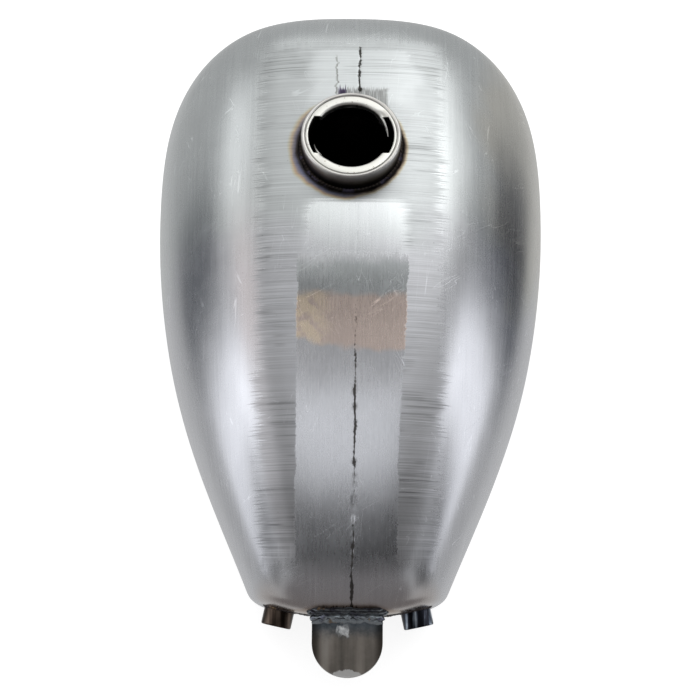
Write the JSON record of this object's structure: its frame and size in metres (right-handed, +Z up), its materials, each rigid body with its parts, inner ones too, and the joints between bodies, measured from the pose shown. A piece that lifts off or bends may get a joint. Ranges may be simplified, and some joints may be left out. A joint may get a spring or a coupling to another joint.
{
  "type": "motorcycle fuel tank",
  "caption": "Teardrop bare-steel motorcycle fuel tank with an open bayonet filler neck, rear outlets, a frame tunnel and a rounded rear mounting tongue.",
  "frame": {"origin": "middle of the footprint, on the plane of the lower edges", "axes": "+Y to the front of the motorcycle, along the tank; +X to the rider's right; +Z up, away from the base"},
  "size_m": [0.2428, 0.4146, 0.1885],
  "materials": {
    "raw_steel": "bare drawn sheet steel, sanded lengthwise on the crown and across it beside, lightly scratched",
    "ground_weld": "butt weld ground flush and sanded lengthwise",
    "weld_bead": "as-welded rippled bead with heat tint",
    "turned_collar": "turned steel, darkened by heat at the foot",
    "bright_ring": "bright pressed steel",
    "blued_steel": "hot-rolled plate, blued and browned by welding heat",
    "dark_bung": "turned steel, blackened and blued by welding heat"
  },
  "bodies": {
    "root": {"left_shell": "raw_steel", "right_shell": "raw_steel", "top_seam_weld": "ground_weld", "frame_tunnel": "raw_steel", "left_base_pan": "raw_steel", "right_base_pan": "raw_steel", "left_pan_weld": "weld_bead", "right_pan_weld": "weld_bead", "left_tunnel_weld": "weld_bead", "right_tunnel_weld": "weld_bead", "front_mouth_weld": "weld_bead", "rear_mouth_weld": "weld_bead", "filler_neck": "turned_collar", "bayonet_ring": "bright_ring", "filler_neck_weld": "weld_bead", "rear_tongue": "blued_steel", "rear_tongue_weld": "weld_bead", "left_fuel_outlet": "dark_bung", "right_fuel_outlet": "dark_bung", "left_outlet_weld": "weld_bead", "right_outlet_weld": "weld_bead", "left_front_ear": "blued_steel", "right_front_ear": "blued_steel", "left_front_ear_weld": "weld_bead", "right_front_ear_weld": "weld_bead"}
  },
  "joints": []
}
